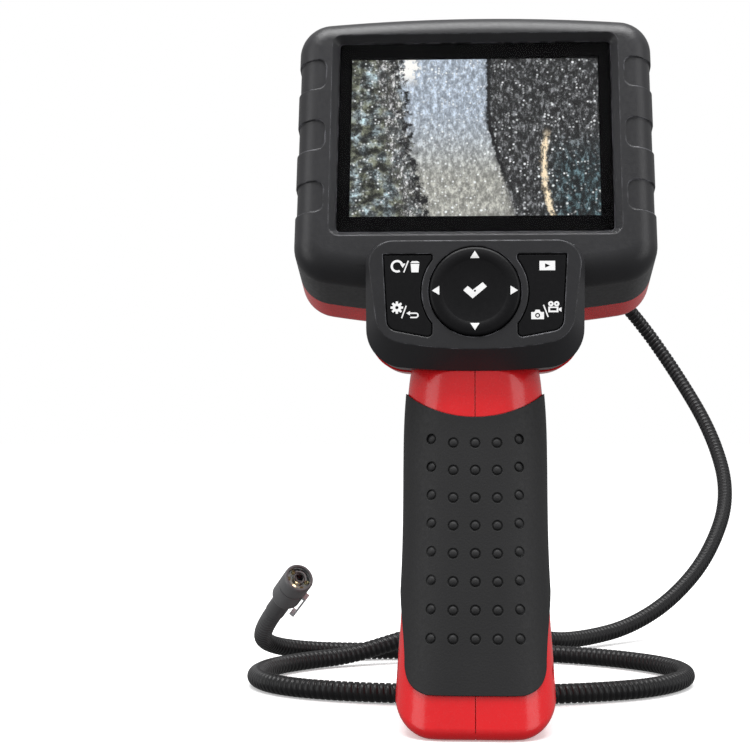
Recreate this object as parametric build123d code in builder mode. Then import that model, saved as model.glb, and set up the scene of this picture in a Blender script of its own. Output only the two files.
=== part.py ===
from build123d import *
import os
from math import atan2, cos, degrees, radians, sin, sqrt, tan

# Hand-held inspection camera on a gooseneck probe. Millimetres, +Z up, -Y is the screen side.
# The origin is the centre of the handle's foot, on the surface that it stands on.

# --- driving dimensions -------------------------------------------------------------------
WALL = 2.2                       # housing wall
FACE_WALL = 2.5                  # front wall around the screen
FIT = 0.25                       # gap around a moving cover or key

HEAD_TILT = 16.0                 # the screen leans back by this angle
HEAD_DEPTH = 40.0
SHELL_DEPTH = 24.0               # the front shell ends here, and the red halves begin
HEAD_FRONT_R = 7.0
HEAD_REAR_R = 6.0

HANDLE_HALF_WIDTHS = [(0, 21.2), (16, 20.7), (34, 19.6), (62, 19.0), (100, 16.9)]
HANDLE_FRONT_R = 14.0
HANDLE_REAR_R = 6.0
FOOT_HALF_DEPTH = 26.5
FRONT_RAKE = 0.264               # the handle's front leans back by this much per mm of height
REAR_RAKE = 0.138
FOOT_CORNER_R = 10.0

GRIP_PROUD = 0.6                 # the rubber stands this far out of the red halves
GRIP_DEPTH = 0.6                 # and sits this far into them
GRIP_REAR_MARGIN = 9.0           # the rubber stops this far in front of the handle's back

KEYPAD_TILT = 8.8
KEYPAD_WALL = 2.2
BULGE_LENGTH = 41.5              # the keypad's bulge runs this far back from its chin
RED_PROUD = 0.5
PAD_R = 12.2
PAD_V = 0.7                      # the round pad's centre above the keypad's
PAD_CENTRE = (0, PAD_V)
KEY_ARC_R = 14.5                 # the side keys curve round the pad at this radius

CELL_R = 7.1                     # AA cell
CELL_LENGTH = 50.5
CELL_PITCH = 14.4

NECK_D = 5.8                     # gooseneck
TIP_R = 4.5                      # camera housing

# Gooseneck's centre line, from the strain relief to the tip's sleeve.
ROUTE = [
    (0, 87.9, 149.6), (0, 114, 142.1), (5, 150, 136), (17, 196, 139), (31, 243, 148),
    (50, 282, 147), (71, 303, 128), (88, 300, 103), (101, 279, 76), (104, 252, 51),
    (92, 224, 29), (75, 200, 14), (57, 181, 5.5), (39.5, 163.5, 3.2), (25, 145, 4.5),
    (9, 135, 11), (-9, 127, 12), (-26, 120, 7.5), (-42, 112.5, 3.2), (-55, 103, 2.9),
    (-66, 87, 2.9), (-69, 65.5, 2.9), (-59, 46.5, 2.9), (-36, 35.5, 2.9), (5, 31.5, 2.9),
    (33, 38, 2.9), (54, 50, 2.9), (66, 71, 2.9), (64, 93, 2.9), (50, 111, 2.9),
    (28, 124, 2.9), (-1, 131, 2.9), (-26, 130, 2.9), (-43, 127, 2.9), (-58, 117.5, 4.5),
    (-68, 102, 8), (-69, 85.5, 14), (-62.3, 71.6, 22.5),
]

# --- work planes --------------------------------------------------------------------------
HEAD_UP = (0, sin(radians(HEAD_TILT)), cos(radians(HEAD_TILT)))
HEAD_OUT = (0, -cos(radians(HEAD_TILT)), sin(radians(HEAD_TILT)))
FACE = Plane(origin=(0, 14.55, 162.3), x_dir=(1, 0, 0), z_dir=HEAD_OUT)
KEY_OUT = (0, -cos(radians(KEYPAD_TILT)), sin(radians(KEYPAD_TILT)))
KEYPAD = Plane(origin=(0, -4.8, 115.6), x_dir=(1, 0, 0), z_dir=KEY_OUT)

BULGE_BACK = Plane(origin=(0, -1.5, 112), x_dir=(1, 0, 0), z_dir=(0, -1, 0))

REAR_ANGLE = degrees(atan2(REAR_RAKE, 1))
DOOR_FOOT = 13.0                 # height of the battery door's lower edge
BAY = Plane(
    origin=(0, FOOT_HALF_DEPTH + REAR_RAKE * DOOR_FOOT, DOOR_FOOT),
    x_dir=(1, 0, 0),
    z_dir=(0, -cos(radians(REAR_ANGLE)), sin(radians(REAR_ANGLE))),
)                                # z runs into the handle from its rear face, y runs up it

PORT_HEIGHT = 8.0                # probe port above the screen's centre, along the head
PORT_POINT = FACE.from_local_coords((0, PORT_HEIGHT, -HEAD_DEPTH))
PORT = Plane(origin=PORT_POINT, x_dir=(1, 0, 0), z_dir=(0, -HEAD_OUT[1], -HEAD_OUT[2]))

TIP_AXIS = Vector(*ROUTE[-1]) - Vector(*ROUTE[-2])
TIP = Plane(origin=ROUTE[-1], x_dir=(0.8, 0.007, -0.6), z_dir=TIP_AXIS)


def depth(distance):
    """Plane parallel to the screen, this far behind the head's front face."""
    return FACE.offset(-distance)


# --- shared outlines ----------------------------------------------------------------------
def head_solid(inset):
    """The head's outside, or the same form moved inwards by inset."""
    with BuildPart() as body:
        with BuildSketch(depth(inset)) as outline:
            with BuildLine():
                Line((-50.4, -40.6), (-50.2, 35.8))
                ThreePointArc((-50.2, 35.8), (0, 38.3), (50.2, 35.8))
                Line((50.2, 35.8), (50.4, -40.6))
                ThreePointArc((50.4, -40.6), (0, -45.7), (-50.4, -40.6))
            make_face()
            fillet(outline.vertices().group_by(Axis.Y)[-1], 9.5)
            fillet(outline.vertices().group_by(Axis.Y)[0], 10.5)
            if inset:
                offset(amount=-inset, mode=Mode.REPLACE)
        extrude(amount=-(HEAD_DEPTH - 2 * inset))
        ends = body.faces().filter_by(lambda face: face.geom_type == GeomType.PLANE)
        front = ends.sort_by(Axis(FACE.origin, HEAD_OUT))[-1]
        rear = ends.sort_by(Axis(FACE.origin, HEAD_OUT))[0]
        fillet(front.edges(), HEAD_FRONT_R - inset)
        fillet(rear.edges(), HEAD_REAR_R - inset)
    return body.part


def keypad_outline(plane, half_top, half_foot, top, foot, sag, top_r, foot_r):
    """Rounded outline with straight sides and a bowed lower edge."""
    with BuildSketch(plane) as outline:
        with BuildLine():
            Line((-half_foot, foot + sag), (-half_top, top))
            Line((-half_top, top), (half_top, top))
            Line((half_top, top), (half_foot, foot + sag))
            ThreePointArc((half_foot, foot + sag), (0, foot), (-half_foot, foot + sag))
        make_face()
        fillet(outline.vertices().group_by(Axis.Y)[-1], top_r)
        fillet(outline.vertices().group_by(Axis.Y)[0], foot_r)
    return outline.sketch


def keypad_solid(inset):
    """The keypad's bulge: a chin slopes down from its face, and it runs straight back from there."""
    face = keypad_outline(
        KEYPAD.offset(-inset), 29.4 - inset, 25.9 - inset, 14.8 - inset, -15.1 + inset, 3.0,
        6.5 - inset, 8.0 - inset)
    back = keypad_outline(
        BULGE_BACK.offset(-inset), 29.6 - inset, 29.3 - inset, 18 - inset, -17 + inset, 2.0,
        6.5 - inset, 10.5 - inset)
    with BuildPart() as body:
        add(face)
        add(back)
        loft(ruled=True)
        extrude(to_extrude=back, amount=-(BULGE_LENGTH - 2 * inset))
    return body.part


def handle_section(height, half_width, inset):
    """Rounded section of the handle at a height: a round front and a flatter rear."""
    front = -FOOT_HALF_DEPTH + FRONT_RAKE * height + inset
    rear = FOOT_HALF_DEPTH + REAR_RAKE * height - inset
    with BuildSketch(Plane.XY.offset(height)) as section:
        with Locations((0, (front + rear) / 2)):
            Rectangle(2 * (half_width - inset), rear - front)
        fillet(section.vertices().group_by(Axis.Y)[0], HANDLE_FRONT_R - inset)
        fillet(section.vertices().group_by(Axis.Y)[-1], HANDLE_REAR_R - inset)
    return section.sketch


def handle_solid(inset):
    """The handle's outside, or the same form moved inwards by inset."""
    sections = [handle_section(z, half_width, inset) for z, half_width in HANDLE_HALF_WIDTHS]
    with BuildPart() as body:
        add(sections)
        loft()
        with BuildSketch(Plane.XZ) as foot_view:
            with Locations((0, 75 + inset)):
                Rectangle(2 * (HANDLE_HALF_WIDTHS[0][1] - inset), 150)
            fillet(foot_view.vertices().group_by(Axis.Y)[0], FOOT_CORNER_R - inset)
        extrude(amount=60, both=True, mode=Mode.INTERSECT)
        foot = body.faces().sort_by(Axis.Z)[0]
        if inset == 0:
            fillet(foot.edges().group_by(Axis.Y)[0] + foot.edges().group_by(Axis.Y)[-1], 2.5)
    return body.part


def side_key_outline(plane, growth):
    """Left-hand key: straight outside, hollowed towards the round pad."""
    with BuildSketch(plane) as outline:
        with BuildLine():
            Polyline((-11.5, 10.9), (-24.6, 10.9), (-23.4, -9.6), (-11.5, -11.9), close=True)
        make_face()
        with Locations(PAD_CENTRE):
            Circle(KEY_ARC_R, mode=Mode.SUBTRACT)
        outer_ends = outline.vertices().filter_by_position(Axis.X, -25, -23)
        fillet(outer_ends.sort_by(Axis.Y)[0], 3.0)
        fillet(outer_ends.sort_by(Axis.Y)[-1], 1.2)
        fillet(outline.vertices().filter_by_position(Axis.Y, -12, -11.8), 1.2)
        inner_ends = outline.vertices().filter_by_position(Axis.X, -11.6, -11.4)
        fillet(inner_ends.filter_by_position(Axis.Y, 9, 12), 0.5)
        if growth:
            offset(amount=growth, mode=Mode.REPLACE)
    return outline.sketch


def save(part, label):
    """Name a finished piece and write its STEP file."""
    part.label = label
    export_step(part, f"parts/{label}.step")


os.makedirs("parts", exist_ok=True)

# --- housing forms that several pieces share -------------------------------------------------
head_form = head_solid(0)
keypad_form = keypad_solid(0)
handle_form = handle_solid(0)
head_room = head_solid(FACE_WALL)
keypad_room = keypad_solid(KEYPAD_WALL)
handle_room = handle_solid(WALL)

with BuildPart() as screen_side:
    with BuildSketch(depth(SHELL_DEPTH)):
        Rectangle(200, 300)
    extrude(amount=80)

with BuildPart() as room:
    add(head_room)
    add(keypad_room)
    add(handle_room)

with BuildPart() as front_form:
    add(head_form)
    add(keypad_form)
    add(screen_side.part, mode=Mode.INTERSECT)

SCREW_POINTS = [(-43, 27), (43, 27), (-43.5, -31), (43.5, -31)]
SCREW_SEAT = 32.0                # the housing screws' heads sit at this depth
BOARD_POINTS = [(-34, -23), (-34, 23), (34, -23), (34, 23)]
BOARD_DEPTH = 24.6
BUTTON = Plane(origin=FACE.from_local_coords((20, 0, -13)), x_dir=(1, 0, 0), z_dir=HEAD_UP)
FLAP_HINGE = Plane(
    origin=FACE.from_local_coords((49.25, 0.5, -28)), x_dir=HEAD_OUT,
    z_dir=Vector(*HEAD_UP) * 382 + Vector(-1, 0, 0))
DOOR_HINGE = Plane(
    origin=BAY.from_local_coords((0, 1.3, 1.3)), x_dir=BAY.y_dir, z_dir=(1, 0, 0))
HANDLE_SCREWS = [
    Plane(origin=(0, -10, 15), x_dir=(0, 1, 0), z_dir=(1, 0, 0)),
    Plane(origin=(0, 6, 84), x_dir=(0, 1, 0), z_dir=(1, 0, 0)),
]

# --- grip sleeve: rubber round the handle's front and sides ----------------------------------
grip_outer = handle_solid(-GRIP_PROUD)
grip_inner = handle_solid(GRIP_DEPTH)
with BuildPart() as sleeve_blank:
    add(grip_outer)
    add(grip_inner, mode=Mode.SUBTRACT)
    # from the front, the upper edge is hollow
    with BuildSketch(Plane.XZ):
        with BuildLine():
            Polyline((-25, 95), (-25, 0), (25, 0), (25, 95))
            ThreePointArc((25, 95), (0, 82.6), (-25, 95))
        make_face()
    extrude(amount=60, both=True, mode=Mode.INTERSECT)
    # from the side, the lower edge sweeps up round the corner
    with BuildSketch(Plane.YZ):
        with BuildLine():
            Line((-40, 11.3), (-23, 11.3))
            ThreePointArc((-23, 11.3), (-19.2, 13.8), (-16.2, 18))
            ThreePointArc((-16.2, 18), (-12.4, 26), (-7, 33.5))
            ThreePointArc((-7, 33.5), (-3.6, 36.4), (1, 37.5))
            Polyline((1, 37.5), (60, 37.5), (60, 120), (-40, 120), (-40, 11.3))
        make_face()
    extrude(amount=40, both=True, mode=Mode.INTERSECT)
    with BuildSketch(BAY.offset(GRIP_REAR_MARGIN)):
        Rectangle(80, 260)
    extrude(amount=80, mode=Mode.INTERSECT)


def handle_half_width(z):
    """Half width of the handle at a height, between its sections."""
    for (low, low_half), (high, high_half) in zip(HANDLE_HALF_WIDTHS, HANDLE_HALF_WIDTHS[1:]):
        if z <= high:
            return low_half + (high_half - low_half) * (z - low) / (high - low)
    return HANDLE_HALF_WIDTHS[-1][1]


def bump_plane(x, z):
    """Plane on the rubber's front at a place, facing out of it."""
    beyond = max(0, abs(x) - (handle_half_width(z) - HANDLE_FRONT_R))
    outer_r = HANDLE_FRONT_R + GRIP_PROUD
    sink = outer_r - sqrt(outer_r ** 2 - beyond ** 2)
    side = beyond / outer_r * (1 if x > 0 else -1)
    front = -FOOT_HALF_DEPTH - GRIP_PROUD + FRONT_RAKE * z
    return Plane(origin=(x, front + sink, z), z_dir=(side, -sqrt(1 - side ** 2), FRONT_RAKE))


bump_places = []
for row in range(8):
    for column in range(-2, 3):
        lift = (0.9 if abs(column) == 2 else 0) * (7 - row) / 7
        bump_places.append(bump_plane(column * 5.8, 75.7 - 7.2 * row + lift))

with BuildPart() as bump_cutter:
    with BuildSketch(Plane.XZ):
        with BuildLine():
            Polyline(
                (1.05, -0.4), (1.45, -0.4), (1.45, 0.6), (0, 0.6), (0, 0.32), (0.55, 0.24),
                (0.95, 0.05), (1.05, -0.1), close=True)
        make_face()
    revolve(axis=Axis.Z)

with BuildPart() as grip_sleeve:
    add(sleeve_blank.part)
    with Locations(*bump_places):
        Cylinder(1.2, 1.0)
    with Locations(*bump_places):
        add(bump_cutter.part, mode=Mode.SUBTRACT)
save(grip_sleeve.part, "grip_sleeve")

# --- housing halves: red, split down the middle ----------------------------------------------
with BuildPart() as skin_room:
    add(head_solid(0.4))
    add(handle_solid(0.4))

with BuildPart() as seam_line:
    with BuildSketch(Plane.YZ.offset(-0.12)):
        with Locations((20, 100)):
            Rectangle(140, 240)
    extrude(amount=0.24)
    add(skin_room.part, mode=Mode.SUBTRACT)

with BuildPart() as handle_tubes:
    for screw_plane in HANDLE_SCREWS:
        with BuildSketch(screw_plane):
            Circle(3.0)
        extrude(amount=20, both=True)
    add(handle_solid(1.4), mode=Mode.INTERSECT)

# the red part of the keypad's bulge stands a little proud of the front shell
with BuildPart() as red_bulge:
    add(keypad_solid(-RED_PROUD))
    add(screen_side.part, mode=Mode.SUBTRACT)

with BuildPart() as rear_housing:
    add(head_form)
    add(red_bulge.part)
    add(handle_form)
    add(front_form.part, mode=Mode.SUBTRACT)
    add(room.part, mode=Mode.SUBTRACT)
    add(sleeve_blank.part, mode=Mode.SUBTRACT)
    add(seam_line.part, mode=Mode.SUBTRACT)
    # tubes for the screws that hold the front shell
    with BuildSketch(depth(SHELL_DEPTH)):
        with Locations(*SCREW_POINTS):
            Circle(3.2)
    extrude(amount=-13.8)
    with BuildSketch(depth(SHELL_DEPTH)):
        with Locations(*SCREW_POINTS):
            Circle(1.3)
    extrude(amount=-17, mode=Mode.SUBTRACT)
    with BuildSketch(depth(SCREW_SEAT)):
        with Locations(*SCREW_POINTS):
            Circle(2.6)
    extrude(amount=-10, mode=Mode.SUBTRACT)
    # posts that carry the main board
    with BuildSketch(depth(BOARD_DEPTH + 1.6)):
        with Locations(*BOARD_POINTS):
            Circle(2.2)
    extrude(amount=-11.5)
    with BuildSketch(depth(BOARD_DEPTH + 1.6)):
        with Locations(*BOARD_POINTS):
            Circle(0.85)
    extrude(amount=-6, mode=Mode.SUBTRACT)
    # tubes for the two screws that hold the handle's halves together
    add(handle_tubes.part)
    for screw_plane in HANDLE_SCREWS:
        with BuildSketch(screw_plane.offset(-9)):
            Circle(1.25)
        extrude(amount=30, mode=Mode.SUBTRACT)
        with BuildSketch(screw_plane.offset(14.2)):
            Circle(2.6)
        extrude(amount=10, mode=Mode.SUBTRACT)
    # probe port
    with BuildSketch(PORT.offset(-5)):
        Circle(7.15)
    extrude(amount=10, mode=Mode.SUBTRACT)
    # opening for the port cover, with holes for its pin
    with BuildSketch(depth(26.75)):
        with Locations((49, 0.5)):
            Rectangle(14, 27.8)
    extrude(amount=-10.5, mode=Mode.SUBTRACT)
    with BuildSketch(FLAP_HINGE.offset(-15.5)):
        Circle(0.65)
    extrude(amount=31, mode=Mode.SUBTRACT)
    # battery opening, with holes for the door's pin and a ledge for its screw
    with BuildSketch(BAY.offset(-8)):
        with Locations((0, 35)):
            Rectangle(28.9, 70.5)
    extrude(amount=12, mode=Mode.SUBTRACT)
    with BuildSketch(BAY.offset(2.15)):
        with Locations((0, 67.8)):
            Rectangle(10, 10.4)
    extrude(amount=3.35)
    with BuildSketch(BAY):
        with Locations((0, 66)):
            Circle(1.9)
    extrude(amount=8, mode=Mode.SUBTRACT)
    with BuildSketch(DOOR_HINGE.offset(-16.3)):
        Circle(0.62)
    extrude(amount=32.6, mode=Mode.SUBTRACT)

with BuildPart() as left_half:
    add(rear_housing.part)
    split(bisect_by=Plane.YZ, keep=Keep.BOTTOM)
save(left_half.part, "left_half")

with BuildPart() as right_half:
    add(rear_housing.part)
    split(bisect_by=Plane.YZ, keep=Keep.TOP)
save(right_half.part, "right_half")

# --- front shell: black, with the screen opening and the keypad's openings -------------------
WINDOW_V = 0.05                  # centre of the screen opening
NOTCH_DEPTH = 0.45               # finger notches in the head's sides
with BuildPart() as side_skin:
    add(head_form)
    add(head_solid(NOTCH_DEPTH), mode=Mode.SUBTRACT)

with BuildPart() as side_notches:
    with BuildSketch(FACE.offset(1)):
        for side in (-1, 1):
            for v in (-19.0, -0.2, 18.6):
                with Locations((side * 49.2, v)):
                    RectangleRounded(14.4, 9.2, 2.5)
    extrude(amount=-17)
    add(side_skin.part, mode=Mode.INTERSECT)

left_key_opening = side_key_outline(KEYPAD.offset(1), 0.2)
right_key_opening = mirror(left_key_opening, Plane.YZ)
with BuildPart() as front_shell:
    add(front_form.part)
    add(room.part, mode=Mode.SUBTRACT)
    # screen opening, tapered towards the glass
    with BuildSketch(depth(0)):
        with Locations((0, WINDOW_V)):
            RectangleRounded(81, 61.7, 3.0)
    with BuildSketch(depth(FACE_WALL)):
        with Locations((0, WINDOW_V)):
            RectangleRounded(76.8, 57.9, 1.2)
    loft(ruled=True, mode=Mode.SUBTRACT)
    add(side_notches.part, mode=Mode.SUBTRACT)
    # openings for the round pad and the two side keys
    with BuildSketch(KEYPAD.offset(1)):
        with Locations(PAD_CENTRE):
            Circle(PAD_R + 0.3)
    extrude(amount=-5.6, mode=Mode.SUBTRACT)
    extrude(to_extrude=left_key_opening, amount=-5.6, mode=Mode.SUBTRACT)
    extrude(to_extrude=right_key_opening, amount=-5.6, mode=Mode.SUBTRACT)
    # ledges behind the keypad's side walls, for the key frame
    with BuildSketch(KEYPAD.offset(-5.4)):
        with Locations((-26.2, 0), (26.2, 0)):
            Rectangle(4.8, 8)
    extrude(amount=-2.2)
    # opening for the power button
    with BuildSketch(BUTTON.offset(33)):
        SlotOverall(11.5, 4.9)
    extrude(amount=10, mode=Mode.SUBTRACT)
    # posts that take the housing screws
    with BuildSketch(depth(FACE_WALL - 0.3)):
        with Locations(*SCREW_POINTS):
            Circle(2.6)
    extrude(amount=-(SHELL_DEPTH - FACE_WALL + 0.3))
    with BuildSketch(depth(SHELL_DEPTH)):
        with Locations(*SCREW_POINTS):
            Circle(1.25)
    extrude(amount=10, mode=Mode.SUBTRACT)
save(front_shell.part, "front_shell")

# --- screws of the housing -------------------------------------------------------------------
with BuildPart() as housing_screw:
    with BuildSketch(Plane.XY):
        Circle(2.3)
    extrude(amount=-1.6)
    fillet(housing_screw.edges().group_by(Axis.Z)[0], 0.5)
    with BuildSketch(Plane.XY.offset(-1.6)):
        Rectangle(2.6, 0.6)
        Rectangle(0.6, 2.6)
    extrude(amount=0.9, mode=Mode.SUBTRACT)
    with BuildSketch(Plane.XY):
        Circle(1.2)
    extrude(amount=15)

for count, (u, v) in enumerate(SCREW_POINTS, start=1):
    with BuildPart(depth(SCREW_SEAT)) as fitted_screw:
        with Locations((u, v)):
            add(housing_screw.part)
    save(fitted_screw.part, f"housing_screw_{count}")

for count, screw_plane in enumerate(HANDLE_SCREWS, start=1):
    with BuildPart() as handle_screw:
        with BuildSketch(screw_plane.offset(14.2)):
            Circle(2.3)
        extrude(amount=1.5)
        with BuildSketch(screw_plane.offset(15.7)):
            Rectangle(2.6, 0.6)
            Rectangle(0.6, 2.6)
        extrude(amount=-0.9, mode=Mode.SUBTRACT)
        with BuildSketch(screw_plane.offset(-7)):
            Circle(1.2)
        extrude(amount=21.3)
    save(handle_screw.part, f"handle_screw_{count}")

# --- display: cover window, gasket, panel and its back ---------------------------------------
with BuildPart() as display_window:
    with BuildSketch(depth(2.5)):
        with Locations((0, WINDOW_V)):
            RectangleRounded(79.6, 60.4, 1.5)
    extrude(amount=-1.5)
save(display_window.part, "display_window")

with BuildPart() as window_gasket:
    with BuildSketch(depth(4.0)):
        with Locations((0, WINDOW_V)):
            RectangleRounded(78, 59.6, 1.5)
        with Locations((0, 0.7)):
            Rectangle(70.1, 48.9, mode=Mode.SUBTRACT)
    extrude(amount=-1.0)
save(window_gasket.part, "window_gasket")

with BuildPart() as lcd_panel:
    with BuildSketch(depth(5.0)):
        RectangleRounded(76.9, 59.4, 0.8)
    extrude(amount=-3.2)
save(lcd_panel.part, "lcd_panel")

with BuildPart() as lcd_frame:
    with BuildSketch(depth(8.2)):
        RectangleRounded(77.6, 60.2, 0.8)
    extrude(amount=-1.0)
    with BuildSketch(depth(9.2)):
        with Locations((-25, 0), (0, 0), (25, 0)):
            Rectangle(18, 46)
    extrude(amount=1.0, mode=Mode.SUBTRACT)
save(lcd_frame.part, "lcd_frame")

# --- main board, with the three sockets and the memory card ----------------------------------
with BuildPart() as main_board:
    with BuildSketch(depth(BOARD_DEPTH)):
        Rectangle(78.6, 55)
        with Locations(*BOARD_POINTS):
            Circle(1.1, mode=Mode.SUBTRACT)
    extrude(amount=-1.6)
save(main_board.part, "main_board")

with BuildPart() as board_chips:
    with BuildSketch(depth(BOARD_DEPTH + 1.6)):
        with Locations((-14, 14)):
            Rectangle(14, 14)
        with Locations((-15, -8)):
            Rectangle(10, 12)
        with Locations((14, -14)):
            Rectangle(9, 9)
        with Locations((18, 14), (18, 5), (-28, 3), (-28, -5)):
            Rectangle(5, 4)
    extrude(amount=-1.4)
    with BuildSketch(depth(BOARD_DEPTH + 1.6)):
        with Locations((-2, -19), (5, -19)):
            Circle(2.6)
    extrude(amount=-5)
save(board_chips.part, "board_chips")

for count, (u, v) in enumerate(BOARD_POINTS, start=1):
    with BuildPart() as board_screw:
        with BuildSketch(depth(BOARD_DEPTH)):
            with Locations((u, v)):
                Circle(1.7)
        extrude(amount=1.0)
        with BuildSketch(depth(BOARD_DEPTH - 1.0)):
            with Locations((u, v)):
                Rectangle(2.0, 0.5)
                Rectangle(0.5, 2.0)
        extrude(amount=-0.6, mode=Mode.SUBTRACT)
        with BuildSketch(depth(BOARD_DEPTH)):
            with Locations((u, v)):
                Circle(0.8)
        extrude(amount=-6)
    save(board_screw.part, f"board_screw_{count}")

SOCKET_BACK = BOARD_DEPTH + 1.6
with BuildPart() as usb_socket:
    with BuildSketch(depth(SOCKET_BACK)):
        with Locations((41.5, -8)):
            Rectangle(9, 7.7)
    extrude(amount=-3.9)
    with BuildSketch(depth(SOCKET_BACK + 0.4)):
        with Locations((43, -8)):
            Rectangle(9, 6.9)
    extrude(amount=-3.1, mode=Mode.SUBTRACT)
    with BuildSketch(depth(SOCKET_BACK + 1.4)):
        with Locations((41.5, -8)):
            Rectangle(7, 4.6)
    extrude(amount=-0.8)
save(usb_socket.part, "usb_socket")

with BuildPart() as card_slot:
    with BuildSketch(depth(SOCKET_BACK)):
        with Locations((39.5, 2)):
            Rectangle(13, 11)
    extrude(amount=-2.0)
    with BuildSketch(depth(SOCKET_BACK + 0.5)):
        with Locations((41, 2)):
            Rectangle(13, 10)
    extrude(amount=-1.0, mode=Mode.SUBTRACT)
save(card_slot.part, "card_slot")

with BuildPart() as memory_card:
    with BuildSketch(depth(SOCKET_BACK + 0.6)):
        with Locations((41, 2)):
            RectangleRounded(12.2, 9.8, 0.8)
    extrude(amount=-0.8)
save(memory_card.part, "memory_card")

with BuildPart() as av_jack:
    with BuildSketch(depth(SOCKET_BACK)):
        with Locations((41.5, 11.2)):
            Rectangle(9, 5.0)
    extrude(amount=-5.0)
    jack_mouth = Plane(
        origin=FACE.from_local_coords((46, 11.2, -SOCKET_BACK - 2.5)), x_dir=HEAD_UP,
        z_dir=(-1, 0, 0))
    with BuildSketch(jack_mouth):
        Circle(1.8)
    extrude(amount=8, mode=Mode.SUBTRACT)
save(av_jack.part, "av_jack")

# --- port cover: a flap in the right-hand wall, hinged at its front edge ----------------------
with BuildPart() as port_cover:
    add(head_form)
    add(head_solid(2.0), mode=Mode.SUBTRACT)
    with BuildSketch(depth(28)):
        with Locations((49, 0.5)):
            Rectangle(14, 27.3)
    extrude(amount=-9, mode=Mode.INTERSECT)
    with BuildSketch(FLAP_HINGE.offset(-13.6)):
        Circle(1.0)
    extrude(amount=27.2)
    with BuildSketch(FLAP_HINGE.offset(-15.3)):
        Circle(0.6)
    extrude(amount=30.6)
save(port_cover.part, "port_cover")

# --- power button, flush in the top of the head ----------------------------------------------
with BuildPart() as power_button:
    with BuildSketch(BUTTON.offset(33.6)):
        SlotOverall(11.0, 4.4)
    extrude(amount=8)
    add(head_form, mode=Mode.INTERSECT)
    with BuildSketch(BUTTON.offset(33.6)):
        SlotOverall(12.8, 6.0)
    extrude(amount=0.7)
save(power_button.part, "power_button")

# --- side keys: each rocks on two studs held by the key frame ---------------------------------
KEY_PIVOT = 5.2                  # depth of the side keys' pivot below the keypad's face
PEG_POINTS = [(-18.5, -7), (-18.5, 7), (18.5, -7), (18.5, 7)]
key_outline = side_key_outline(KEYPAD.offset(-3.6), 0)
with BuildPart() as key_flange:
    extrude(to_extrude=side_key_outline(KEYPAD.offset(-3.6), 0.5), amount=0.7)
    add(keypad_solid(KEYPAD_WALL + 0.3), mode=Mode.INTERSECT)

with BuildPart() as left_key:
    extrude(to_extrude=key_outline, amount=3.4)
    key_top = left_key.faces().sort_by(Axis(KEYPAD.origin, KEY_OUT))[-1]
    fillet(key_top.edges(), 0.4)
    add(key_flange.part)
    # rib that carries the pivot studs, and the two pegs that press the membrane
    with BuildSketch(KEYPAD.offset(-6.0)):
        with Locations((-19.2, 0)):
            Rectangle(5.6, 2.0)
    extrude(amount=2.5)
    key_pivot = Plane(
        origin=KEYPAD.from_local_coords((-19.2, 0, -KEY_PIVOT)), x_dir=KEYPAD.y_dir,
        z_dir=(1, 0, 0))
    with BuildSketch(key_pivot.offset(-4.3)):
        Circle(0.7)
    extrude(amount=8.6)
    with BuildSketch(KEYPAD.offset(-8.5)):
        with Locations(*PEG_POINTS[:2]):
            Circle(0.8)
    extrude(amount=5)
save(left_key.part, "left_key")

with BuildPart() as right_key:
    add(mirror(left_key.part, Plane.YZ))
save(right_key.part, "right_key")

# --- round pad: plunger, rocker ring and pad nest like a gimbal --------------------------------
PAD = Plane(
    origin=KEYPAD.from_local_coords((0, PAD_V, 0)), x_dir=KEYPAD.x_dir, z_dir=KEYPAD.z_dir)
PAD_PIVOT = 4.9                  # depth of both of the pad's tilting axes
ACROSS = Plane(
    origin=PAD.from_local_coords((0, 0, -PAD_PIVOT)), x_dir=PAD.y_dir, z_dir=(1, 0, 0))
UPWARD = Plane(
    origin=PAD.from_local_coords((0, 0, -PAD_PIVOT)), x_dir=(1, 0, 0), z_dir=PAD.y_dir)

pad_profile = Plane(origin=PAD.origin, x_dir=(1, 0, 0), z_dir=-Vector(*PAD.y_dir))
with BuildPart() as direction_pad:
    with BuildSketch(pad_profile):
        with BuildLine():
            ThreePointArc((0, 0.55), (4.6, 0.45), (8.6, 0.75))
            ThreePointArc((8.6, 0.75), (9.6, 1.0), (11.3, 0.85))
            ThreePointArc((11.3, 0.85), (12.0, 0.45), (PAD_R, -0.2))
            Polyline(
                (PAD_R, -0.2), (PAD_R, -3.1), (13.0, -3.1), (13.0, -3.7), (8.8, -3.7),
                (8.8, -6.2), (6.8, -6.2), (6.8, -1.4), (0, -1.4), (0, 0.55))
        make_face()
    revolve(axis=Axis(PAD.origin, KEY_OUT))
    with BuildSketch(UPWARD.offset(-9)):
        Circle(0.75)
    extrude(amount=18, mode=Mode.SUBTRACT)
    # the flange stops short of the keypad's upper wall
    with BuildSketch(PAD.offset(-4)):
        with Locations((0, 13)):
            Rectangle(26, 3)
        Circle(PAD_R, mode=Mode.SUBTRACT)
    extrude(amount=1.2, mode=Mode.SUBTRACT)
save(direction_pad.part, "direction_pad")

with BuildPart() as pad_rocker:
    with BuildSketch(PAD.offset(-PAD_PIVOT - 1)):
        Circle(6.2)
        Circle(4.5, mode=Mode.SUBTRACT)
    extrude(amount=2)
    with BuildSketch(ACROSS.offset(-7)):
        Circle(0.75)
    extrude(amount=14, mode=Mode.SUBTRACT)
    for way in (-1, 1):
        with BuildSketch(UPWARD.offset(way * 5.2)):
            Circle(0.7)
        extrude(amount=way * 3.4)
save(pad_rocker.part, "pad_rocker")

with BuildPart() as pad_plunger:
    with BuildSketch(PAD.offset(-PAD_PIVOT - 1.1)):
        Circle(4.0)
    extrude(amount=2.3)
    with BuildSketch(PAD.offset(-8.5)):
        Circle(2.9)
    extrude(amount=3)
    with BuildSketch(ACROSS.offset(-6)):
        Circle(0.7)
    extrude(amount=12)
save(pad_plunger.part, "pad_plunger")

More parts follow.
